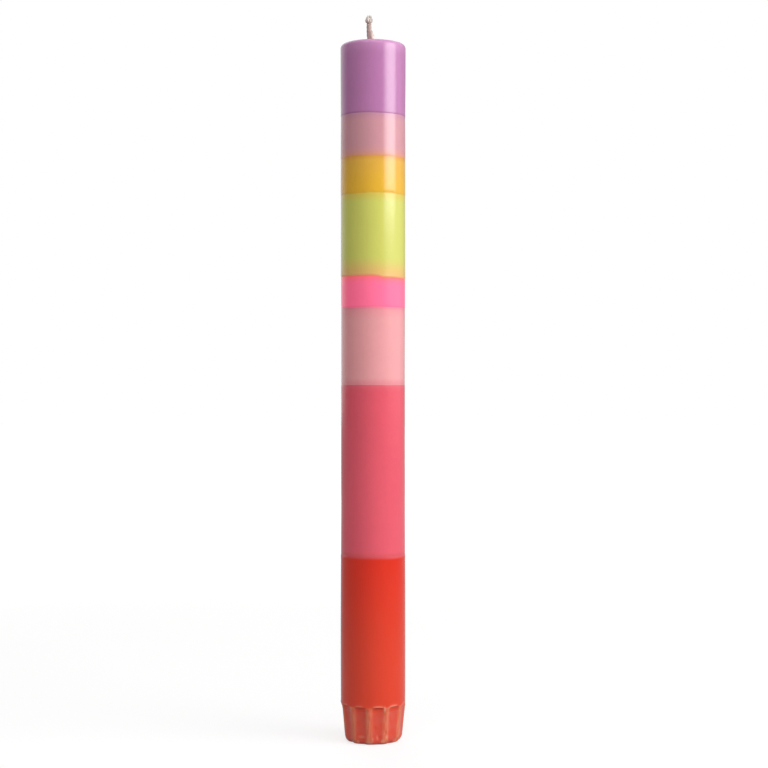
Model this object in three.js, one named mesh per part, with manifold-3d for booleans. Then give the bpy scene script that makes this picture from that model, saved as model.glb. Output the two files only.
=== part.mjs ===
// A dip-dyed dinner candle: a wax blank cast round a cotton wick, with a fluted foot that wedges
// into a candle holder, and seven thin coats of dyed wax. Five coats are dipped from the wick end
// and two from the foot, each less deep than the one before, so that each band of colour is the
// strip of a coat that the next one leaves bare. The blank shows as the band between the two sets.
// Sizes are in millimetres, +Z points up, and the origin is the middle of the face it stands on.

import * as THREE from "three";
import { mergeVertices, toCreasedNormals } from "three/addons/utils/BufferGeometryUtils.js";
import Module from "manifold-3d";

const wasm = await Module();
wasm.setup();

// Blank
const BLANK_RADIUS = 11.0;
const BLANK_HEIGHT = 239.9;
const RIM_FILLET = 1.1;

// Foot of the blank: its flutes end at a ledge, and its ribs taper from a little below that
const LEDGE_HEIGHT = 12.9;
const TAPER_DROP = 1.2;
const FOOT_RADIUS = 9.95;
const FOOT_FILLET = 1.3;
const FLUTE_COUNT = 11;
const FLUTE_DEPTH = 0.7;
const FLUTE_HOLLOW_RADIUS = 9.0;
const FLUTE_TAPER = 0.8;
const FLUTE_TURN = 17.5;

// Wick, which runs from the foot of the blank to above its top
const WICK_RADIUS = 0.6;
const WICK_STICK_OUT = 10.8;
const TUFT_RADIUS = 1.3;
const TUFT_HEIGHT = 3.1;
const WICK_LEAN = 1.4;
const WICK_LEAN_HEIGHT = 1.2;

// Coats of dyed wax
const COAT_THICKNESS = 0.05;
const MENISCUS_RADIUS = 1.1;
const CHIMNEY_GAP = 0.3;

// How deep each coat was dipped: from the blank's top face down, or from its flat foot up
const NEON_PINK_DEPTH = 91.0;
const LIME_DEPTH = 80.3;
const YELLOW_DEPTH = 52.1;
const MAUVE_DEPTH = 39.5;
const ORCHID_DEPTH = 25.0;
const ROSE_DEPTH = 122.45;
const RED_DEPTH = 63.9;

const BLANK_COLOUR = "#f0b2b3";
const WICK_COLOUR = "#e6ddd2";
const TOP_DIPS = [
  { name: "coat_neon_pink", depth: NEON_PINK_DEPTH, colour: "#ff8cb4" },
  { name: "coat_lime", depth: LIME_DEPTH, colour: "#dce085" },
  { name: "coat_yellow", depth: YELLOW_DEPTH, colour: "#f2c352" },
  { name: "coat_mauve", depth: MAUVE_DEPTH, colour: "#dda9b0" },
  { name: "coat_orchid", depth: ORCHID_DEPTH, colour: "#cd92c2" },
];
const FOOT_DIPS = [
  { name: "coat_rose", depth: ROSE_DEPTH, colour: "#ea7284" },
  { name: "coat_red", depth: RED_DEPTH, colour: "#e1502f" },
];

// Facets round the body, round the wick, and along the curves
const BODY_COLUMNS = 55;
const WICK_COLUMNS = 12;
const FILLET_STEPS = 3;
const MENISCUS_STEPS = 3;
const STEM_STEPS = 4;
const TUFT_STEPS = 5;
const HOLLOW_STEPS = 5;

// The foot coats lie under the blank, so it stands that much above the origin
const BLANK_BASE = FOOT_DIPS.length * COAT_THICKNESS;
const BLANK_TOP = BLANK_BASE + BLANK_HEIGHT;
const LEDGE = BLANK_BASE + LEDGE_HEIGHT;
const TIP = BLANK_TOP + WICK_STICK_OUT;
const CHIMNEY_TOP = TIP - TUFT_HEIGHT - CHIMNEY_GAP;
const TOP_COATS = TOP_DIPS.length * COAT_THICKNESS;
// The wick starts to lean above the top face of the last coat
const LEAN_START = BLANK_TOP + TOP_COATS;

// Points on a circular arc in the profile's plane, both ends included
function arc(radius, height, size, fromDegrees, toDegrees, steps) {
  const points = [];
  for (let i = 0; i <= steps; i += 1) {
    const angle = THREE.MathUtils.degToRad(fromDegrees + ((toDegrees - fromDegrees) * i) / steps);
    points.push([radius + size * Math.cos(angle), height + size * Math.sin(angle)]);
  }
  return points;
}

// A closed geometry as a solid that can be joined and cut
function solid(geometry) {
  const bare = geometry.index ? geometry.toNonIndexed() : geometry.clone();
  bare.deleteAttribute("normal");
  bare.deleteAttribute("uv");
  const merged = mergeVertices(bare);
  return new wasm.Manifold(
    new wasm.Mesh({
      numProp: 3,
      vertProperties: merged.attributes.position.array,
      triVerts: new Uint32Array(merged.index.array),
    }),
  );
}

// A profile of [radius, height] points, from the axis to the axis, turned about +Z
function turned(profile, columns) {
  const points = profile.map(([radius, height]) => new THREE.Vector2(radius, height));
  return new THREE.LatheGeometry(points, columns).rotateX(Math.PI / 2);
}

// One flute's cutter: it fills the hollow between two ribs, and reaches down past the foot.
// A coat that lies in the flute makes the hollow smaller by its offset on every side.
function fluteCutter(offset) {
  const overlap = 2;
  const hollow = FLUTE_HOLLOW_RADIUS - offset;
  const centre = BLANK_RADIUS - FLUTE_DEPTH + FLUTE_HOLLOW_RADIUS;
  const half = Math.PI / FLUTE_COUNT;
  const width = (BLANK_RADIUS + overlap) * Math.sin(half) * 1.15;
  const sweep = Math.asin(width / hollow);
  const outline = new THREE.Shape();
  for (let i = 0; i <= HOLLOW_STEPS; i += 1) {
    const angle = sweep * ((2 * i) / HOLLOW_STEPS - 1);
    const point = [centre - hollow * Math.cos(angle), hollow * Math.sin(angle)];
    if (i === 0) outline.moveTo(...point);
    else outline.lineTo(...point);
  }
  outline.lineTo(BLANK_RADIUS + overlap, width);
  outline.lineTo(BLANK_RADIUS + overlap, -width);
  const height = LEDGE_HEIGHT - offset + overlap;
  const cutter = new THREE.ExtrudeGeometry(outline, { depth: height, bevelEnabled: false });
  cutter.translate(0, 0, LEDGE - offset - height);
  // The floor of the flute leans in towards the foot, so that the ribs keep their height
  const position = cutter.attributes.position;
  for (let i = 0; i < position.count; i += 1) {
    const drop = (LEDGE - offset - position.getZ(i)) / LEDGE_HEIGHT;
    position.setX(i, position.getX(i) - FLUTE_TAPER * drop);
  }
  return cutter;
}

// All that the blank would fill from its foot up if it were thicker by offset. The upper end is
// the rest of the profile, back to the axis.
function footEnvelope(offset, upperEnd) {
  const fillet = arc(
    FOOT_RADIUS - FOOT_FILLET, BLANK_BASE + FOOT_FILLET, FOOT_FILLET + offset, -90, 0, FILLET_STEPS,
  );
  const profile = [
    [0, BLANK_BASE - offset],
    ...fillet,
    [BLANK_RADIUS + offset, LEDGE - TAPER_DROP],
    ...upperEnd,
  ];
  let foot = solid(turned(profile, BODY_COLUMNS));
  for (let i = 0; i < FLUTE_COUNT; i += 1) {
    const turn = THREE.MathUtils.degToRad(FLUTE_TURN + (360 * i) / FLUTE_COUNT);
    foot = foot.subtract(solid(fluteCutter(offset).rotateZ(turn)));
  }
  return foot;
}

// The profile of a plain upper end at a height
function flatEnd(offset, height) {
  return [[BLANK_RADIUS + offset, height], [0, height]];
}

// The profile of the rounded rim and the top face
function rimEnd(offset) {
  return [
    ...arc(
      BLANK_RADIUS - RIM_FILLET, BLANK_TOP - RIM_FILLET, RIM_FILLET + offset, 0, 90, FILLET_STEPS,
    ),
    [0, BLANK_TOP + offset],
  ];
}

// The same for the blank's upper part, from a height to its top
function capEnvelope(offset, bottom) {
  const profile = [[0, bottom], [BLANK_RADIUS + offset, bottom], ...rimEnd(offset)];
  return solid(turned(profile, BODY_COLUMNS)).add(chimneyEnvelope(offset));
}

// The free end of the wick bends over to -X, and takes the wax on it along
function lean(geometry) {
  const position = geometry.attributes.position;
  for (let i = 0; i < position.count; i += 1) {
    const rise = Math.max(0, position.getZ(i) - LEAN_START);
    const shift = WICK_LEAN * (1 - Math.exp(-rise / WICK_LEAN_HEIGHT));
    position.setX(i, position.getX(i) - shift);
  }
  return geometry;
}

// Wax that has crept up the wick: a meniscus off the top face, and a chimney round the stem
function chimneyEnvelope(offset) {
  const foot = WICK_RADIUS + MENISCUS_RADIUS;
  const meniscus = arc(
    foot, BLANK_TOP + MENISCUS_RADIUS, MENISCUS_RADIUS - offset, -90, -180, MENISCUS_STEPS,
  );
  const profile = [
    [0, BLANK_TOP - MENISCUS_RADIUS],
    [foot, BLANK_TOP - MENISCUS_RADIUS],
    ...meniscus,
    ...stem(WICK_RADIUS + offset, BLANK_TOP + MENISCUS_RADIUS, CHIMNEY_TOP),
    [0, CHIMNEY_TOP],
  ];
  return solid(lean(turned(profile, WICK_COLUMNS)));
}

// Points up a straight stem above its lower end, close enough together to let it lean
function stem(radius, from, to) {
  const points = [];
  for (let i = 1; i <= STEM_STEPS; i += 1) {
    points.push([radius, from + ((to - from) * i) / STEM_STEPS]);
  }
  return points;
}

function makeWick() {
  const waist = Math.acos(WICK_RADIUS / TUFT_RADIUS);
  const tuftHalf = TUFT_HEIGHT / (1 + Math.sin(waist));
  const tuft = [];
  for (let i = 0; i <= TUFT_STEPS; i += 1) {
    const angle = -waist + ((Math.PI / 2 + waist) * i) / TUFT_STEPS;
    tuft.push([TUFT_RADIUS * Math.cos(angle), TIP - tuftHalf + tuftHalf * Math.sin(angle)]);
  }
  tuft[TUFT_STEPS][0] = 0;
  const profile = [
    [0, BLANK_BASE],
    [WICK_RADIUS, BLANK_BASE],
    [WICK_RADIUS, BLANK_TOP],
    [WICK_RADIUS, BLANK_TOP + MENISCUS_RADIUS],
    ...stem(WICK_RADIUS, BLANK_TOP + MENISCUS_RADIUS, CHIMNEY_TOP),
    ...tuft,
  ];
  return solid(lean(turned(profile, WICK_COLUMNS)));
}

function piece(name, shape, colour, roughness) {
  const { vertProperties, triVerts } = shape.getMesh();
  const geometry = new THREE.BufferGeometry();
  geometry.setAttribute("position", new THREE.BufferAttribute(vertProperties, 3));
  geometry.setIndex(new THREE.BufferAttribute(triVerts, 1));
  const material = new THREE.MeshStandardMaterial({ color: colour, roughness, metalness: 0 });
  const creased = toCreasedNormals(geometry, THREE.MathUtils.degToRad(25));
  const mesh = new THREE.Mesh(creased, material);
  mesh.name = name;
  return mesh;
}

const candle = new THREE.Group();

const wick = makeWick();
const blank = footEnvelope(0, rimEnd(0)).subtract(wick);
candle.add(piece("wick", wick, WICK_COLOUR, 0.9));
candle.add(piece("blank", blank, BLANK_COLOUR, 0.35));

// Each dip leaves the wax between its own envelope and what was there before
function dip(dips, envelope) {
  let before = blank.add(wick);
  dips.forEach(({ name, depth, colour }, i) => {
    const after = envelope(COAT_THICKNESS * (i + 1), depth);
    candle.add(piece(name, after.subtract(before), colour, 0.3));
    before = after;
  });
}

dip(TOP_DIPS, (offset, depth) => capEnvelope(offset, BLANK_TOP - depth));
dip(FOOT_DIPS, (offset, depth) => footEnvelope(offset, flatEnd(offset, BLANK_BASE + depth)));

export default candle;
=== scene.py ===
import math

import bpy
import numpy as np
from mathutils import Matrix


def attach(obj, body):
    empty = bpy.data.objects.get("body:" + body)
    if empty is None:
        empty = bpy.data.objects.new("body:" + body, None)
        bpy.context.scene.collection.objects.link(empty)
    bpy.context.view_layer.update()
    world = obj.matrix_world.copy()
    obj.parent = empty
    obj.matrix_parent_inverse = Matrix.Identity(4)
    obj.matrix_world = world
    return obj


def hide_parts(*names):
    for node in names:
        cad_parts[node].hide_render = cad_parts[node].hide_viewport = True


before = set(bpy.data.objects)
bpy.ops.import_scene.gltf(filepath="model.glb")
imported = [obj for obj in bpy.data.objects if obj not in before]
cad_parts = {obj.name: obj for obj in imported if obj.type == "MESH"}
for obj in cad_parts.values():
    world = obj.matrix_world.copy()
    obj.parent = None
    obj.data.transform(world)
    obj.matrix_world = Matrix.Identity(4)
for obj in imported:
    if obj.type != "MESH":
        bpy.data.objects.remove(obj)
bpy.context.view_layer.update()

# Wick
# A cotton cord plaited from eight yarns, which runs down the middle of the candle to its foot.
# It was soaked in wax with the candle, bends over where it leaves the top face, and has been
# trimmed since, so its end is clean cotton that has frayed into a tuft.

# Sizes and heights are in millimetres
MM = 0.001
WAX_TOP = 240.25
WICK_BASE = 0.1
CORE_RADIUS = 0.36
YARN_RADIUS = 0.17
PLAIT_RADIUS = 0.4
PLAIT_WEAVE = 0.07
PLAIT_PITCH = 5.6
PLAIT_START = WAX_TOP - 2.5
PLAIT_ROWS = 90
NECK = 247.65
TUFT_TOP = 250.75
YARN_END_ROWS = 18
FIBRE_ROWS = 11
WICK_LEAN = 1.4
WICK_LEAN_HEIGHT = 1.2
# How far the point at a tube's end stands out, in radii, and a direction that no tube starts in
TIP = 0.6
ASIDE = (0.31, 0.87, 0.38)


def leaned(z):
    """How far the free end of the wick has bent over to -X at a height."""
    return WICK_LEAN * (1 - np.exp(-np.maximum(0, z - WAX_TOP) / WICK_LEAN_HEIGHT))


def wound(out, angle, heights):
    """A path round the wick: its distance from the wick's middle, angle and height."""
    aside = out * np.sin(angle) + 0 * heights
    return np.stack([out * np.cos(angle) - leaned(heights), aside, heights], 1)


def tube(path, radii, sides):
    """Points and faces of a closed tube along a path, with a rounded point at both ends."""
    along = np.gradient(path, axis=0)
    along /= np.linalg.norm(along, axis=1)[:, None]
    across = np.cross(along[0], ASIDE)
    points = [path[0] - along[0] * radii[0] * TIP]
    for place, ahead, radius in zip(path, along, radii):
        across = across - ahead * across.dot(ahead)
        across /= np.linalg.norm(across)
        third = np.cross(ahead, across)
        for turn in np.linspace(0, 2 * math.pi, sides, endpoint=False):
            points.append(place + radius * (math.cos(turn) * across + math.sin(turn) * third))
    points.append(path[-1] + along[-1] * radii[-1] * TIP)
    faces = []
    last = len(points) - 1
    top = 1 + (len(path) - 1) * sides
    for side in range(sides):
        after = (side + 1) % sides
        faces.append((0, 1 + after, 1 + side))
        for low in range(1, top, sides):
            high = low + sides
            faces.append((low + side, low + after, high + after, high + side))
        faces.append((last, top + side, top + after))
    return np.array(points), faces


def joined(parts):
    """The points and faces of several closed shapes as one list of each."""
    points, faces, count = [], [], 0
    for part_points, part_faces in parts:
        points.append(part_points)
        faces += [tuple(corner + count for corner in face) for face in part_faces]
        count += len(part_points)
    return np.vstack(points), faces


def mesh_object(name, points, faces, marks=None):
    """A smooth object from points in millimetres, with marks: one number for each point."""
    mesh = bpy.data.meshes.new(name)
    mesh.from_pydata((points * MM).tolist(), [], faces)
    mesh.polygons.foreach_set("use_smooth", [True] * len(mesh.polygons))
    for mark, values in (marks or {}).items():
        mesh.attributes.new(mark, "FLOAT", "POINT").data.foreach_set("value", values)
    item = bpy.data.objects.new(name, mesh)
    bpy.context.collection.objects.link(item)
    return item


class Wire:
    """A node's output, which can take part in sums, differences and products."""

    def __init__(self, graph, socket):
        self.graph = graph
        self.socket = socket

    def combined(self, operation, first, second):
        return self.graph.node("Math", {"operation": operation}, {0: first, 1: second})[0]

    def __add__(self, other):
        return self.combined("ADD", self, other)

    def __sub__(self, other):
        return self.combined("SUBTRACT", self, other)

    def __rsub__(self, other):
        return self.combined("SUBTRACT", other, self)

    def __mul__(self, other):
        return self.combined("MULTIPLY", self, other)

    __radd__ = __add__
    __rmul__ = __mul__


class Graph:
    """The nodes of a material or of the world."""

    def __init__(self, owner):
        owner.use_nodes = True
        self.tree = owner.node_tree
        self.tree.nodes.clear()

    def node(self, kind, settings=None, sockets=None):
        made = self.tree.nodes.new("ShaderNode" + kind)
        for key, value in (settings or {}).items():
            setattr(made, key, value)
        for key, value in (sockets or {}).items():
            if isinstance(value, Wire):
                self.tree.links.new(value.socket, made.inputs[key])
            else:
                made.inputs[key].default_value = value
        return [Wire(self, socket) for socket in made.outputs]

    def place(self):
        return self.node("TexCoord")[3]

    def height(self):
        """The height in millimetres."""
        return self.node("SeparateXYZ", {}, {0: self.place()})[2] * (1 / MM)

    def mark(self, name):
        return self.node("Attribute", {"attribute_name": name})[2]

    def noise(self, size, detail=2.0, stretch=1.0):
        """Noise from 0 to 1 in lumps of a size in millimetres, drawn out along the height."""
        shrink = {0: self.place(), 1: (1, 1, 1 / stretch)}
        place = self.node("VectorMath", {"operation": "MULTIPLY"}, shrink)[0]
        sockets = {"Vector": place, "Scale": 1 / (size * MM), "Detail": detail}
        return self.node("TexNoise", {}, sockets)[0]

    def step(self, value, low, high):
        """A smooth step: 0 where the value is low, and 1 where it is high."""
        sockets = {"Value": value, "From Min": low, "From Max": high}
        return self.node("MapRange", {"interpolation_type": "SMOOTHSTEP"}, sockets)[0]

    def blend(self, share, first, second):
        """The first colour, or the second where the share is 1."""
        return self.node("Mix", {"data_type": "RGBA"}, {0: share, 6: first, 7: second})[2]

    def tinted(self, tone, mark, reach, share, code):
        """A colour that turns to another one near an edge, up to a reach in millimetres."""
        near = 1 - self.step(self.mark(mark), 0.0, reach)
        return self.blend(near * share, tone, linear(code))

    def shade(self, colour, factor):
        """A colour made lighter or darker by a factor."""
        start = colour if isinstance(colour, Wire) else colour[:3]
        return self.node("VectorMath", {"operation": "SCALE"}, {0: start, "Scale": factor})[0]

    def bump(self, height):
        """The normal of a surface raised by a height in millimetres."""
        return self.node("Bump", {}, {"Strength": 1.0, "Distance": MM, "Height": height})[0]

    def surface(self, colour, roughness, normal, constants):
        sockets = {"Base Color": colour, "Roughness": roughness, "Normal": normal, **constants}
        shader = self.node("BsdfPrincipled", {}, sockets)[0]
        self.node("OutputMaterial", {}, {"Surface": shader})


def linear(code):
    """The linear colour of a six-digit code."""
    parts = [int(code[i : i + 2], 16) / 255 for i in (0, 2, 4)]
    parts = [c / 12.92 if c <= 0.04045 else ((c + 0.055) / 1.055) ** 2.4 for c in parts]
    return (*parts, 1.0)


def plait():
    """Eight yarns, four wound each way, that pass over and under each other."""
    heights = np.linspace(PLAIT_START, NECK + 0.2, PLAIT_ROWS)
    turn = 2 * math.pi * heights / PLAIT_PITCH
    for way in (1, -1):
        out = PLAIT_RADIUS + way * PLAIT_WEAVE * np.cos(4 * turn)
        for yarn in range(4):
            path = wound(out, way * turn + yarn * math.pi / 2, heights)
            yield tube(path, [YARN_RADIUS] * PLAIT_ROWS, 8)


def yarn_end(draw, azimuth, reach, top, size):
    """A yarn of the tuft: it bows outwards from the neck, swells where its twist has opened,
    turns in again, and closes to a soft point."""
    share = np.linspace(0, 1, YARN_END_ROWS)
    bow = np.sin(np.minimum(1, share * 1.5) * math.pi / 2) ** 1.2
    out = 0.2 + (reach - 0.2) * bow * (1 - 1.4 * np.maximum(0, share - 0.45) ** 1.5)
    angle = azimuth + 0.5 * share + 0.12 * draw.standard_normal()
    heights = NECK - 0.15 + (top - NECK) * share**0.9
    radii = size * (0.35 + 0.65 * np.sin(np.minimum(1, share * 1.6) * math.pi / 2) ** 2)
    radii = radii * np.sqrt(np.maximum(0.05, 1 - share**3.5))
    return tube(wound(out, angle, heights), radii, 10)


def fibre(draw):
    """A loose fibre of the tuft: it springs out above the neck and curls back over the top."""
    share = np.linspace(0, 1, FIBRE_ROWS)
    reach, top = draw.uniform(0.5, 1.15), draw.uniform(NECK + 1.2, TUFT_TOP - 0.1)
    out = 0.15 + reach * np.sin(share * math.pi * draw.uniform(0.78, 1.0))
    angle = draw.uniform(0, 2 * math.pi) + share * draw.uniform(-1.6, 1.6)
    start = NECK + 0.3 * draw.uniform(-1, 1)
    heights = start + (top - start) * share ** draw.uniform(0.75, 1.1)
    return tube(wound(out, angle, heights), [draw.uniform(0.018, 0.032)] * FIBRE_ROWS, 4)


# Azimuth in degrees from +X towards +Y, reach, top and thickness of each yarn's end
YARN_ENDS = [
    (178, 0.95, TUFT_TOP - 1.00, 0.56),
    (222, 0.80, TUFT_TOP - 0.85, 0.54),
    (262, 0.62, TUFT_TOP - 0.75, 0.52),
    (318, 0.66, TUFT_TOP - 1.00, 0.50),
    (2, 0.72, TUFT_TOP - 0.95, 0.48),
    (55, 0.68, TUFT_TOP - 0.85, 0.50),
    (100, 0.66, TUFT_TOP - 0.75, 0.50),
    (142, 0.78, TUFT_TOP - 0.85, 0.52),
    (200, 0.18, TUFT_TOP - 0.30, 0.62),
]
LOOSE_FIBRES = 260

draw = np.random.default_rng(11)
core_heights = np.concatenate([[WICK_BASE + 0.3], np.linspace(WAX_TOP - 3, NECK + 1.5, 24)])
core_path = wound(0, 0, core_heights)
parts = [tube(core_path, [CORE_RADIUS] * len(core_heights), 12), *plait()]
parts += [yarn_end(draw, math.radians(a), r, top, s) for a, r, top, s in YARN_ENDS]
parts += [fibre(draw) for _ in range(LOOSE_FIBRES)]
wick = mesh_object("wick_plait", *joined(parts))

cotton = bpy.data.materials.new("waxed_cotton")
graph = Graph(cotton)
dry = graph.step(graph.height(), NECK - 0.2, NECK + 0.9)
fluff = graph.noise(0.35, 4.0)
strands = graph.noise(0.11, 3.0, 5.0)
tone = graph.blend(dry, linear("b5a393"), linear("f0e8e0"))
tone = graph.shade(tone, 0.84 + 0.3 * fluff)
grain = graph.bump(0.03 * strands + 0.02 * fluff)
graph.surface(tone, 0.55 + 0.4 * dry, grain, {"Sheen Weight": 0.2, "Specular IOR Level": 0.3})
wick.data.materials.append(cotton)
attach(wick, "root")
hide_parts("wick")

# Blank
# The candle as it comes out of its mould: soft pink wax cast round the wick, 22 mm thick, with
# a rounded rim. Its foot narrows below a ledge and has eleven shallow flutes, whose ribs are
# shaved as the candle is pressed into a holder. It shows between the coats.

BLANK_RADIUS = 11.0
BLANK_BASE = 0.1
BLANK_TOP = 240.0
RIM_FILLET = 1.1
LEDGE = 13.0
TAPER_DROP = 1.2
TAPER = 0.101
FOOT_ROUND_HEIGHT = 1.9
FOOT_ROUND_WIDTH = 0.9
FLUTES = 11
FLUTE_AT = 9.3
FLUTE_DEPTH = 0.7
FLUTE_HOLLOW = 9.0
FLUTE_TAPER = 0.062
FLUTE_HALF = 13.7
FLUTE_ARCH = 0.55
FLUTE_RUNOUT = 0.3
RIB_SOFTNESS = 0.3
TOP_DIP = 0.06
# Columns round a foot that another layer covers, twelve to a flute, and its rows
COVERED_COLUMNS = 12 * FLUTES
COVERED_FOOT_ROWS = 14
FOOT_CLEARANCE = 0.05
# Height from row to row of a wall
WALL_STEP = 4.0
# Heights of the edges of the two coats that the blank shows between
NEON_EDGE = 149.2
ROSE_EDGE = 122.55
# Distances from an edge are counted up to here
FAR_FROM_EDGE = 30


def around(columns):
    """Angles from the front, which is -Y, towards +X."""
    return np.linspace(0, 2 * math.pi, columns, endpoint=False)


def hill(value, middle, width):
    return np.exp(-(((value - middle) / width) ** 2))


# Swellings and waists of the wall: size, height of the middle, and reach up and down
SWELLS = [(0.06, 165, 28), (-0.09, 216, 10), (-0.03, 112, 24), (0.12, 34, 30)]
# Waves of the wall: size, radians in a millimetre of height, waves round the candle, and phase
WAVES = [(0.02, 0.045, 2, 0.4), (0.012, 0.083, -3, 0), (0.006, 0.21, 5, 1.1), (0.004, 0.37, -4, 0)]


def wobble(angle, z):
    """How far dipped and cooled wax stands off a true cylinder."""
    swell = sum(size * hill(z, middle, reach) for size, middle, reach in SWELLS)
    return swell + sum(size * np.sin(up * z + turn * angle + at) for size, up, turn, at in WAVES)


# Lips of wax over the flutes: angle and half width in degrees, and size, which also sets how bright
# the lip's painted highlight is
LIPS = [
    (-57, 6, 0.5),
    (-25, 8, 0.6),
    (10, 10, 1.0),
    (37, 11, 1.0),
    (68, 7, 0.6),
    (107, 10, 0.9),
    (140, 7, 0.6),
    (172, 10, 0.8),
    (206, 6, 0.5),
    (240, 9, 1.0),
    (272, 8, 0.5),
]
# Marks on the foot: angle in degrees, height, width and tallness in millimetres, how deep the
# wax is dented or chipped there, and how pale it is painted: rubbed and chipped wax, with
# painted highlights on some chips and on the drip over a rib
FOOT_MARKS = [
    (-78, 6.5, 5.0, 17.0, 0.18, 0.0),
    (-52, 0.4, 2.4, 1.6, 0.34, 0.2),
    (-31, 0.9, 1.1, 1.0, 0.10, 0.9),
    (-23, 2.7, 2.6, 1.1, 0.05, 0.5),
    (-23, 1.7, 2.4, 0.9, 0.12, 0.0),
    (-20, 0.2, 1.8, 0.8, 0.22, 0.0),
    (-8, 0.9, 2.6, 0.9, 0.06, 0.7),
    (0, 1.9, 0.7, 1.6, 0.03, 0.5),
    (3.6, 5.7, 1.1, 1.7, 0.11, 0.0),
    (9, 2.6, 0.8, 1.7, 0.04, 0.5),
    (13, 2.2, 1.0, 1.6, 0.16, 0.0),
    (20, 1.3, 1.4, 1.2, 0.08, 0.8),
    (21.5, 12.2, 0.6, 1.9, -0.16, 1.0),
    (25, 4.1, 0.7, 1.2, 0.16, 0.0),
    (28, 2.6, 1.0, 1.4, 0.02, 0.8),
    (36, 0.4, 2.6, 1.5, 0.34, 0.0),
    (54, 0.9, 2.4, 1.8, 0.36, 0.2),
    (71, 1.2, 2.0, 1.8, 0.24, 0.3),
    (92, 0.4, 2.6, 1.2, 0.25, 0.6),
    (121, 0.8, 1.8, 1.6, 0.28, 0.3),
    (154, 0.3, 2.4, 1.0, 0.24, 0.5),
    (171, 3.4, 1.6, 2.0, 0.14, 0.2),
    (187, 0.6, 2.0, 1.4, 0.30, 0.6),
    (214, 0.2, 2.6, 1.0, 0.22, 0.4),
    (239, 1.0, 1.6, 1.6, 0.30, 0.7),
    (268, 0.6, 2.6, 1.8, 0.36, 0.2),
    (288, 0.7, 2.0, 1.8, 0.30, 0.2),
]


def foot_marks(angle, z, column):
    """The sum of the foot's marks: column 4 is their depth, and column 5 their paleness."""
    total = 0 * angle * z
    for mark in FOOT_MARKS:
        aside = (angle - math.radians(mark[0]) + math.pi) % (2 * math.pi) - math.pi
        out = (aside * BLANK_RADIUS / (0.5 * mark[2])) ** 2 + ((z - mark[1]) / (0.5 * mark[3])) ** 2
        total = total + mark[column] * np.exp(-(out**1.4))
    return total


def flute_side(angle):
    """How far an angle is from the middle of its flute, in degrees."""
    pitch = 360 / FLUTES
    return np.abs((np.degrees(angle) - FLUTE_AT + pitch / 2) % pitch - pitch / 2)


def lip_size(angle):
    """How large the lip of wax over the ledge is: none on the ribs, and uneven over the flutes."""
    total = 0 * angle
    for middle, width, size in LIPS:
        aside = (np.degrees(angle) - middle + 180) % 360 - 180
        total = total + size * np.exp(-((aside / width) ** 4))
    return total


def foot_radius(offset, angle, z):
    """The radius of the fluted foot, thicker by offset: the lower of its ribs and its flutes."""
    rib = BLANK_RADIUS - TAPER * np.maximum(0, LEDGE - TAPER_DROP - z) + offset
    rib = rib + wobble(angle, LEDGE) * np.clip((z - 8) / 4.5, 0, 1)
    aside = np.radians(flute_side(angle))
    centre = BLANK_RADIUS - FLUTE_DEPTH + FLUTE_HOLLOW - FLUTE_TAPER * (LEDGE - z)
    centre = centre + FLUTE_RUNOUT * np.exp(-np.abs(LEDGE - z) / 1.3)
    hollow = FLUTE_HOLLOW - offset
    floor = centre * np.cos(aside) - np.sqrt(hollow**2 - (centre * np.sin(aside)) ** 2)
    lower = (rib + floor) / 2 - np.sqrt(((rib - floor) / 2) ** 2 + (RIB_SOFTNESS / 2) ** 2)
    return lower + 0.2 * RIB_SOFTNESS - foot_marks(angle, z, 4)


# The rows of the ledge over a flute: share of the way out to the wall, and rise
LEDGE_ROWS = [(0.08, -0.16), (0.35, -0.05), (0.8, 0.0)]
# The rows of the lip above them: share of the lip's size, and rise
LIP_ROWS = [(0.1, 0.03), (0.75, 0.1), (1.0, 0.22), (0.8, 0.36), (0.3, 0.6), (0.0, 0.9)]


def foot_rows(offset, angle, rows, lip=0.0):
    """The outline of the foot from the middle of its flat face up to just above the ledge.
    Each flute ends in a low arch, with a lip of wax over it."""
    base = BLANK_BASE - offset + 0 * angle
    radius = foot_radius(offset, angle, base) - FOOT_ROUND_WIDTH
    outline = [(share * radius, base) for share in (0.0, 0.4, 0.75, 0.93)]
    for lift in np.radians(np.linspace(-90, 0, 9))[:-1]:
        z = base + FOOT_ROUND_HEIGHT * (1 + math.sin(lift))
        radius = foot_radius(offset, angle, z) - FOOT_ROUND_WIDTH * (1 - math.cos(lift))
        outline.append((radius, z))
    arch = np.clip(flute_side(angle) / FLUTE_HALF, 0, 1)
    ledge = LEDGE - offset - FLUTE_ARCH * arch**3
    spread = 1 + arch**4
    start = base + FOOT_ROUND_HEIGHT
    for share in np.linspace(0, 1, rows):
        z = start + (ledge - 0.3 * spread - start) * share
        outline.append((foot_radius(offset, angle, z), z))
    low = foot_radius(offset, angle, ledge)
    high = BLANK_RADIUS + offset + wobble(angle, LEDGE)
    proud = lip * lip_size(angle)
    for share, rise in LEDGE_ROWS:
        outline.append((low + (high - low) * share, ledge + rise * spread))
    for share, rise in LIP_ROWS:
        outline.append((high + proud * share, ledge + rise * spread))
    return outline


def wall_rows(offset, angle, low, high, step):
    """The outline of the straight body between two heights, which may vary with the angle."""
    low, high = low + 0 * angle, high + 0 * angle
    count = max(2, round(float(np.mean(high - low)) / step) + 1)
    rows = [low + (high - low) * share for share in np.linspace(0, 1, count)]
    return [(BLANK_RADIUS + offset + wobble(angle, z), z) for z in rows]


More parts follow.
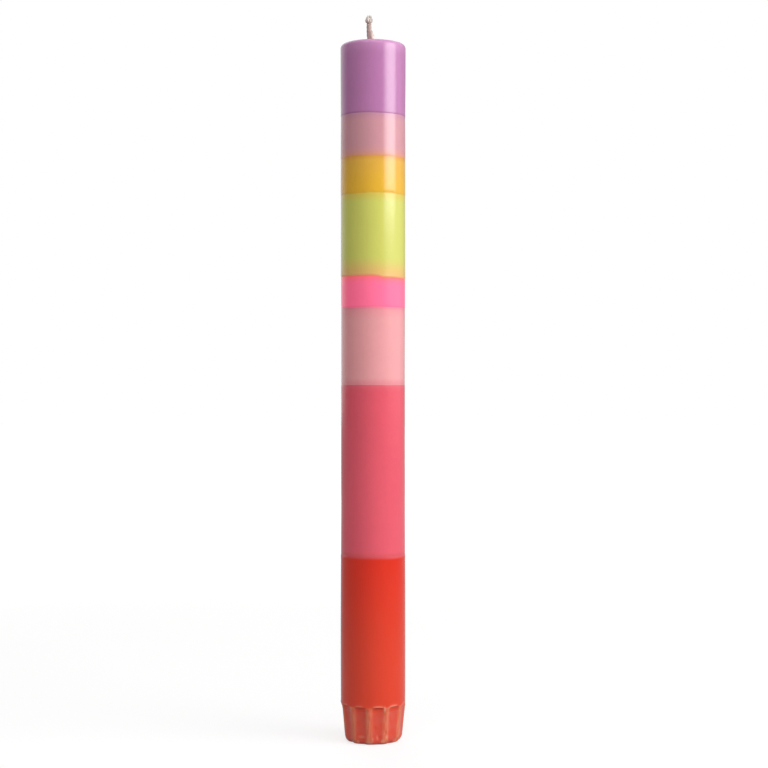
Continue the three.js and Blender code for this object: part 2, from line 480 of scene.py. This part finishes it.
def crown_rows(offset, angle):
    """The outline of the rounded rim and the top face, inwards to the foot of the wick."""
    fillet = RIM_FILLET + offset
    centre = BLANK_RADIUS - RIM_FILLET + wobble(angle, BLANK_TOP)
    outline = []
    for lift in np.radians(np.linspace(0, 90, 9)):
        z = BLANK_TOP - RIM_FILLET + fillet * math.sin(lift)
        outline.append((centre + fillet * math.cos(lift), z + 0 * angle))
    for share in (0.85, 0.65, 0.45, 0.3):
        dip = TOP_DIP * math.sin(share * math.pi)
        outline.append((share * centre, BLANK_TOP + offset - dip + 0 * angle))
    return outline


def skin(outline, angle, closed):
    """Points and faces of a skin turned about the axis. A closed outline comes back to its
    start, and an open one starts and ends on the axis."""
    radii = np.array([radius for radius, _ in outline])
    heights = np.array([z for _, z in outline])
    aside = np.where(radii < 6, leaned(heights), 0)
    points = np.stack([radii * np.sin(angle) - aside, -radii * np.cos(angle), heights], 2)
    rows, columns = radii.shape
    index = np.arange(rows * columns).reshape(rows, columns)
    if closed:
        index = np.vstack([index, index[:1]])
    else:
        index[0, :] = index[0, 0]
        index[-1, :] = index[-1, 0]
    faces = []
    for low, high in zip(index[:-1], index[1:]):
        for column in range(columns):
            after = (column + 1) % columns
            corners = [low[column], low[after], high[after], high[column]]
            faces.append(tuple(dict.fromkeys(int(corner) for corner in corners)))
    used = sorted({corner for face in faces for corner in face})
    renumber = {old: new for new, old in enumerate(used)}
    faces = [tuple(renumber[corner] for corner in face) for face in faces]
    return points.reshape(-1, 3)[used], faces


def hidden_foot(offset, angle, rows):
    """The foot of a layer that another one covers, a little slimmer so that it stays inside."""
    rows = foot_rows(offset, angle, rows)
    return [(np.maximum(0, r - FOOT_CLEARANCE), z + FOOT_CLEARANCE) for r, z in rows]


def edge_line(height, tilt, ripple, phase):
    """The height of a coat's edge round the candle: a tilt to the right and a ripple."""
    rest = math.sin(phase) + 0.6 * math.sin(2.3 * phase)

    def line(angle):
        waves = np.sin(3 * angle + phase) + 0.6 * np.sin(5 * angle + 2.3 * phase) - rest
        return height + tilt * np.sin(angle) + ripple * waves

    return line


neon_edge = edge_line(NEON_EDGE, 0.0, 0.04, 0.8)
rose_edge = edge_line(ROSE_EDGE, 0.0, 0.03, 2.1)


def distance(points, line, way):
    """How far points lie from an edge line, counted upwards with way 1, downwards with -1."""
    angles = np.arctan2(points[:, 0], -points[:, 1])
    return np.clip(way * (points[:, 2] - line(angles)), -FAR_FROM_EDGE, FAR_FROM_EDGE)


def wax(name, code, mottle=0.05):
    """The start of a wax: its material, graph and colour, with the clouds and the fine crystals
    of cooled wax."""
    material = bpy.data.materials.new(name)
    graph = Graph(material)
    crystals = graph.noise(1.3, 3.0, 1.4)
    tone = graph.shade(linear(code), 1 - mottle + mottle * (graph.noise(9.0) + crystals))
    return material, graph, tone


def wax_surface(graph, tone, roughness=0.12, constants=None):
    """Candle wax that has cooled to a soft gloss."""
    grain = graph.noise(0.9, 3.0)
    constants = {"IOR": 1.43, **(constants or {})}
    graph.surface(tone, roughness + 0.05 * grain, graph.bump(0.009 * grain), constants)


angle = around(COVERED_COLUMNS)
outline = hidden_foot(0, angle, COVERED_FOOT_ROWS)[1:]
outline += wall_rows(0, angle, LEDGE + 1.5, BLANK_TOP - RIM_FILLET - 0.5, WALL_STEP)
outline += crown_rows(0, angle)
bore = PLAIT_RADIUS + PLAIT_WEAVE + YARN_RADIUS + 0 * angle
outline.append((bore, BLANK_TOP + 0 * angle))
outline.append((bore, BLANK_BASE + FOOT_CLEARANCE + 0 * angle))
points, faces = skin(outline, angle, True)
marks = {
    "above_rose": distance(points, rose_edge, 1),
    "below_neon": distance(points, neon_edge, -1),
}
blank = mesh_object("blank_cast", points, faces, marks)

soft_pink, graph, tone = wax("soft_pink_wax", "fcacaf")
tone = graph.tinted(tone, "below_neon", 5.0, 0.3, "ff7f98")
tone = graph.tinted(tone, "below_neon", 1.2, 0.4, "ff6f9a")
tone = graph.tinted(tone, "above_rose", 2.8, 0.4, "e8707e")
wax_surface(graph, tone)
blank.data.materials.append(soft_pink)
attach(blank, "root")
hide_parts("blank")

# Coats dipped from the wick end
# Dyed wax in which the candle was dipped head down, five times, each time less deep. A coat
# covers the top, creeps up the wick, and ends below in a soft bead where the dip ended, stained
# a little by the coats next to it. The darker bands along the orchid coat's bead and just under
# the mauve coat's edge are partly painted shade.

ORCHID_EDGE = 215.1
MAUVE_EDGE = 200.6
YELLOW_EDGE = 188.0
LIME_EDGE = 159.9
COAT = 0.05
CLEARANCE = 0.004
CAP_COLUMNS = 144
SHOULDER = BLANK_TOP - RIM_FILLET - 0.4
# How far from the edge a coat's inner skin starts, and the height from row to row of its wall
INNER_START = 0.03
COVERED_STEP = 6.0
MENISCUS = 1.1
SHEATH_LUMP = 0.03
WEB_REACH = 1.1
WEB_HEIGHT = 5.7
# Height above the blank's top face of each ring of a sheath, up to its open end
SHEATH_END = 7.5
SHEATH_RINGS = [0, 0.12, 0.35, 0.7, *np.linspace(1.1, SHEATH_END, 21)]


def web(angle, height):
    """How far wax and fibres reach from the wick on the side that it leans away from."""
    side = np.clip(np.sin(angle), 0, 1) ** 1.5
    return WEB_REACH * side * max(0, 1 - (height / WEB_HEIGHT) ** 3)


def sheath_rows(offset, angle, drop=0.0):
    """Wax round the wick: it curves up off the top face, and hugs the plait up to its end, which
    may be dropped a little."""
    outline = []
    stem = PLAIT_RADIUS + YARN_RADIUS + offset
    for height in SHEATH_RINGS:
        z = BLANK_TOP + height + (offset if height < 0.5 else 0)
        z -= drop if height == SHEATH_END else 0
        curve = MENISCUS * (1 - math.sqrt(1 - (1 - min(1, height / MENISCUS)) ** 2))
        turn = 2 * math.pi * z / PLAIT_PITCH
        lumps = np.cos(4 * (angle - turn)) + np.cos(4 * (angle + turn))
        lumps = SHEATH_LUMP * lumps * min(1, height / 2)
        outline.append((stem + curve + lumps + web(angle, height), z + 0 * angle))
    return outline


# Share of the way to full thickness, share of the thickness, and share of the bead
EDGE_ROWS = [
    (0, 0.1, 0),
    (0.03, 0.16, 0),
    (0.3, 0.5, 0),
    (0.6, 0.85, 0.6),
    (1, 1, 1),
    (1.8, 1, 0.6),
]


def edge_rows(inner, outer, angle, edge, way, thin, bead):
    """The rounded edge of a coat: from the layer below it out to its full thickness, which it
    reaches at a distance thin from the edge."""
    outline = []
    for share, thick, swell in EDGE_ROWS:
        z = edge + way * share * thin
        radius = inner + (outer - inner) * thick + bead * swell
        outline.append((BLANK_RADIUS + radius + wobble(angle, z), z))
    return outline


def cap_coat(name, count, own, cover, thin, bead):
    """A coat from the wick end: an outer skin with a bead along its lower edge, and an inner
    skin on the layer below."""
    angle = around(CAP_COLUMNS)
    outer, inner = COAT * count, COAT * (count - 1) + CLEARANCE
    edge = own(angle)
    outline = edge_rows(inner, outer, angle, edge, 1, thin, bead)
    outline += wall_rows(outer, angle, edge + 2 * thin + 0.5, SHOULDER, WALL_STEP)
    outline += crown_rows(outer, angle)
    outline += sheath_rows(outer, angle)
    outline += sheath_rows(inner, angle, 0.05)[::-1]
    outline += crown_rows(inner, angle)[::-1]
    outline += wall_rows(inner, angle, edge + INNER_START, SHOULDER, COVERED_STEP)[::-1]
    points, faces = skin(outline, angle, True)
    marks = {"from_edge": distance(points, own, 1)}
    if cover:
        marks["from_cover"] = distance(points, cover, -1)
    high = np.clip(points[:, 2] - BLANK_TOP, 0, 20)
    turn = np.arctan2(points[:, 0] + leaned(points[:, 2]), -points[:, 1])
    marks["webbed"] = np.array([web(a, h) if h > 0.6 else 0 for a, h in zip(turn, high)])
    return mesh_object(name, points, faces, marks)


# The stretch where the lime coat ran: how much lower it hangs, and its start and end with the
# softness of each, in degrees from the front
RUN_DROP = 0.55
RUN_START, RUN_START_SOFTNESS = 13, 2.2
RUN_END, RUN_END_SOFTNESS = 118, 9
lime_line = edge_line(LIME_EDGE, -0.06, 0.05, 1.4)


def lime_edge(angle):
    """The lime coat hangs lower over a stretch on the right, where it ran."""
    aside = np.degrees((angle + math.pi) % (2 * math.pi) - math.pi)
    begun = 1 / (1 + np.exp(-(aside - RUN_START) / RUN_START_SOFTNESS))
    ended = 1 + np.exp((aside - RUN_END) / RUN_END_SOFTNESS)
    return lime_line(angle) - RUN_DROP * (begun / ended)


yellow_edge = edge_line(YELLOW_EDGE, 0.0, 0.05, 0.5)
mauve_edge = edge_line(MAUVE_EDGE, 0.0, 0.04, 2.9)
orchid_edge = edge_line(ORCHID_EDGE, -0.08, 0.04, 4.1)

neon = cap_coat("coat_neon_pink_dip", 1, neon_edge, lime_edge, 1.0, 0.0)
neon_wax, graph, tone = wax("neon_pink_wax", "ff7aa4", 0.03)
tone = graph.tinted(tone, "from_cover", 3.2, 0.5, "ff7a6c")
tone = graph.tinted(tone, "from_cover", 1.2, 0.5, "ff8a58")
tone = graph.tinted(tone, "from_edge", 0.8, 0.25, "ff6a98")
# Painted light: a faint glow over the whole neon coat, standing in for light that scatters through
# the wax
glow = {"Emission Color": linear("ff4664"), "Emission Strength": 0.26}
wax_surface(graph, tone, constants=glow)
neon.data.materials.append(neon_wax)
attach(neon, "root")
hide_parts("coat_neon_pink")

lime = cap_coat("coat_lime_dip", 2, lime_edge, yellow_edge, 0.35, 0.03)
lime_wax, graph, tone = wax("lime_wax", "dfdf6f", 0.04)
tone = graph.tinted(tone, "from_cover", 3.5, 0.5, "f4c244")
tone = graph.tinted(tone, "from_edge", 7.2, 0.68, "ffb77c")
tone = graph.tinted(tone, "from_edge", 0.8, 0.45, "ffa080")
wax_surface(graph, tone)
lime.data.materials.append(lime_wax)
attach(lime, "root")
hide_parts("coat_lime")

yellow = cap_coat("coat_yellow_dip", 3, yellow_edge, mauve_edge, 1.2, 0.0)
yellow_wax, graph, tone = wax("yellow_wax", "f8bf3a", 0.05)
tone = graph.tinted(tone, "from_cover", 11.0, 0.5, "f0b85a")
# Darker orange just under the mauve coat: partly a stain, partly painted shade under the mauve
# coat's edge
tone = graph.tinted(tone, "from_cover", 2.0, 0.6, "e89a50")
tone = graph.tinted(tone, "from_edge", 1.0, 0.2, "d8a838")
wax_surface(graph, tone)
yellow.data.materials.append(yellow_wax)
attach(yellow, "root")
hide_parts("coat_yellow")

mauve = cap_coat("coat_mauve_dip", 4, mauve_edge, orchid_edge, 1.4, 0.0)
mauve_wax, graph, tone = wax("mauve_wax", "dd9da7")
tone = graph.tinted(tone, "from_cover", 2.8, 0.4, "c98cb4")
tone = graph.tinted(tone, "from_edge", 4.0, 0.45, "f2a47c")
tone = graph.tinted(tone, "from_edge", 1.4, 0.55, "f2a868")
wax_surface(graph, tone)
mauve.data.materials.append(mauve_wax)
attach(mauve, "root")
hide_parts("coat_mauve")

orchid = cap_coat("coat_orchid_dip", 5, orchid_edge, None, 0.4, 0.01)
orchid_wax, graph, tone = wax("orchid_wax", "c681b6", 0.08)
# Darker along its lower edge: partly more dye in the bead, partly painted shade under the
# downward-facing edge
tone = graph.tinted(tone, "from_edge", 1.0, 0.35, "a0527c")
# Painted light: the top 5 mm of the coat are painted paler, standing in for light that enters the
# rim
rim = graph.step(graph.height(), BLANK_TOP - 5, BLANK_TOP)
tone = graph.blend(rim * 0.3, tone, linear("f1b5e3"))
# The sheath of the wick shows the waxed cotton through it, and is creamy where it forms a web
sheath = graph.step(graph.height(), WAX_TOP + 0.5, WAX_TOP + 2.2)
tone = graph.blend(sheath, tone, linear("b8a098"))
creamy = graph.step(graph.mark("webbed"), 0.15, 0.75)
tone = graph.blend(creamy, tone, linear("e2d3c6"))
wax_surface(graph, tone, 0.12 + 0.3 * sheath)
orchid.data.materials.append(orchid_wax)
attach(orchid, "root")
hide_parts("coat_orchid")

# Coats dipped from the foot
# The candle stood in rose wax to its middle and then in red wax to a quarter of its height.
# Both coats wrap the foot, ledge and flutes included, and end above in a bead. The red wax on
# the foot is dull and scraped pale on the ribs, with chips along its lower rim.

RED_EDGE = 64.2
LIP = 0.14


def foot_coat(name, count, own, cover, columns, rows, thin, bead):
    """A coat from the foot: from the middle of the flat face up its outer skin to a bead along
    its upper edge, and back down the layer below. Without a cover it is the outermost."""
    angle = around(columns)
    outer, inner = COAT * count, COAT * (count - 1) + CLEARANCE
    edge = own(angle)
    if cover:
        outline = hidden_foot(outer, angle, rows)
    else:
        outline = foot_rows(outer, angle, rows, LIP)
    outline += wall_rows(outer, angle, LEDGE + 2, edge - 2 * thin - 0.5, WALL_STEP)
    outline += edge_rows(inner, outer, angle, edge, -1, thin, bead)[::-1]
    outline += wall_rows(inner, angle, LEDGE + 2, edge - INNER_START, COVERED_STEP)[::-1]
    lift = 0.04 if cover else 0
    outline += [(r, z + lift) for r, z in hidden_foot(inner, angle, rows)[::-1]]
    points, faces = skin(outline, angle, False)
    marks = {"from_edge": distance(points, own, -1)}
    if cover:
        marks["from_cover"] = distance(points, cover, 1)
    else:
        turn = np.arctan2(points[:, 0], -points[:, 1])
        side, z = flute_side(turn), points[:, 2]
        below = np.clip((LEDGE + 0.1 - z) / 0.5, 0, 1)
        arch = FLUTE_ARCH * np.clip(side / FLUTE_HALF, 0, 1) ** 3
        # The pale mark: rubbed and chipped wax from the foot's marks, and a painted highlight along
        # the lip over each flute, for light caught on its upper side
        lip_painted_highlight = hill(z, LEDGE + 0.2 - arch, 0.32) * lip_size(turn)
        marks["rib"] = np.clip((side - 8) / 5, 0, 1) * below
        marks["pale"] = np.clip(foot_marks(turn, z, 5) + 0.8 * lip_painted_highlight, 0, 1)
    return mesh_object(name, points, faces, marks)


red_edge = edge_line(RED_EDGE, -0.03, 0.04, 3.3)
columns, rows = COVERED_COLUMNS, COVERED_FOOT_ROWS
rose = foot_coat("coat_rose_dip", 1, rose_edge, red_edge, columns, rows, 0.8, 0.0)
rose_wax, graph, tone = wax("rose_wax", "f66072", 0.06)
tone = graph.tinted(tone, "from_edge", 2.5, 0.2, "ea8b94")
tone = graph.tinted(tone, "from_cover", 1.6, 0.4, "dd5048")
wax_surface(graph, tone)
rose.data.materials.append(rose_wax)
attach(rose, "root")
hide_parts("coat_rose")

columns, rows = 32 * FLUTES, 44
red = foot_coat("coat_red_dip", 2, red_edge, None, columns, rows, 0.8, 0.04)
red_wax, graph, tone = wax("red_wax", "ed2909", 0.04)
tone = graph.blend(1 - graph.step(graph.height(), 20.0, 70.0), tone, linear("f0462a"))
tone = graph.tinted(tone, "from_edge", 1.3, 0.8, "e8606c")
# Painted shade: the foot's frosting and roughness fade out between 2.4 and 0.4 mm below the ledge,
# so the tops of the flutes under it stay darker and more saturated, as shade there
foot = 1 - graph.step(graph.height(), LEDGE - 2.4, LEDGE - 0.4)
scrape = graph.step(graph.noise(0.45, 3.0, 12.0), 0.35, 0.65)
haze = foot * (0.06 + 0.08 * graph.step(graph.noise(2.2, 5.0), 0.3, 0.7))
tone = graph.blend(haze, tone, linear("d4b0a4"))
tone = graph.blend(graph.mark("rib") * (0.1 + 0.16 * scrape), tone, linear("ffd79c"))
# Paler where the pale mark is: rubbed and chipped wax, with painted highlights on the lips, on some
# chips and on the drip
tone = graph.blend(graph.mark("pale") * 0.55, tone, linear("ffc09c"))
wax_surface(graph, tone, 0.12 + 0.18 * foot)
red.data.materials.append(red_wax)
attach(red, "root")
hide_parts("coat_red")

# Studio
# A pale floor, a soft box on the right whose lower side is above the candle's middle and which
# is brightest in its middle, a fill light above the camera, a soft light behind and a dim room.
# The camera stands level with the candle's middle, half a metre away.

AMBIENT = 0.32
GLOW = 0.72
MIRRORED_GLOW = 0.35
FLOOR_GREY = 0.35
CAMERA_AWAY = 0.54
CAMERA_HEIGHT = 0.1229
CAMERA_ASIDE = 0.0038
bpy.ops.mesh.primitive_plane_add(size=8, location=(0, 0, -0.2 * MM))
floor = bpy.context.object
floor.name = "floor"
paper = bpy.data.materials.new("pale_floor")
graph = Graph(paper)
lit = graph.node("BsdfDiffuse", {}, {"Color": (FLOOR_GREY, FLOOR_GREY, FLOOR_GREY, 1)})[0]
ray = graph.node("LightPath")
seen = ray[0] + MIRRORED_GLOW * (ray[3] + ray[6])
away = graph.node("VectorMath", {"operation": "LENGTH"}, {0: graph.place()})[1]
glow = GLOW + (1 - GLOW) * graph.step(away, 0.25, 1.2)
glowing = graph.node("Emission", {}, {"Strength": seen * glow})[0]
both = graph.node("AddShader", {}, {0: lit, 1: glowing})[0]
graph.node("OutputMaterial", {}, {"Surface": both})
floor.data.materials.append(paper)

world = bpy.data.worlds.new("studio")
bpy.context.scene.world = world
graph = Graph(world)
ray = graph.node("LightPath")
axes = graph.node("SeparateXYZ", {}, {0: graph.node("TexCoord")[0]})
behind = graph.step(axes[1], 0.25, 0.65)
right = graph.step(axes[0], 0.6, 0.95) * (1 - behind)
left = graph.step(axes[0] * -1, 0.0, 0.5) * graph.step(axes[1], 0.1, 0.6)
above = graph.step(axes[2], 0.35, 0.75)
mirrored = 0.2 + 1.0 * right + 0.2 * behind + 0.7 * left + 0.8 * above
bent = graph.node("Math", {"operation": "MAXIMUM"}, {0: ray[3], 1: ray[6]})[0]
strength = ray[0] + (1 - ray[0]) * (bent * mirrored + (1 - bent) * AMBIENT)
white = {"Color": (1, 1, 1, 1), "Strength": strength}
room = graph.node("Background", {}, white)[0]
graph.node("OutputWorld", {}, {"Surface": room})


def soft_light(name, azimuth, away, low, high, width, radiance):
    """A rectangular light that faces the candle's axis, at an azimuth from the camera to +X."""
    turn = math.radians(azimuth)
    data = bpy.data.lights.new(name, "AREA")
    data.shape = "RECTANGLE"
    data.size = width
    data.size_y = high - low
    data.energy = radiance * math.pi * width * (high - low)
    lamp = bpy.data.objects.new(name, data)
    lamp.location = (away * math.sin(turn), -away * math.cos(turn), (low + high) / 2)
    lamp.rotation_euler = (math.pi / 2, 0, turn)
    lamp.visible_camera = False
    bpy.context.collection.objects.link(lamp)
    return lamp


soft_light("box_wide", 64, 1.0, 0.29, 0.85, 0.98, 3.3)
soft_light("box_middle", 64, 0.99, 0.29, 0.60, 0.66, 4.0)
soft_light("box_heart", 63, 0.98, 0.29, 0.60, 0.28, 1.2)
fill = soft_light("fill", 0, 1.1, 0.65, 1.55, 1.6, 1.7)
fill.rotation_euler = (math.radians(48), 0, 0)
back = soft_light("back", 190, 1.2, 0.1, 1.3, 1.0, 1.6)
back.visible_glossy = False

view = bpy.data.cameras.new("camera")
view.lens = 73.06
view.sensor_width = 36
view.clip_start = 0.01
camera = bpy.data.objects.new("camera", view)
camera.location = (CAMERA_ASIDE, -CAMERA_AWAY, CAMERA_HEIGHT)
camera.rotation_euler = (math.pi / 2, 0, 0)
bpy.context.collection.objects.link(camera)
bpy.context.scene.camera = camera
bpy.context.scene.view_settings.view_transform = "Standard"
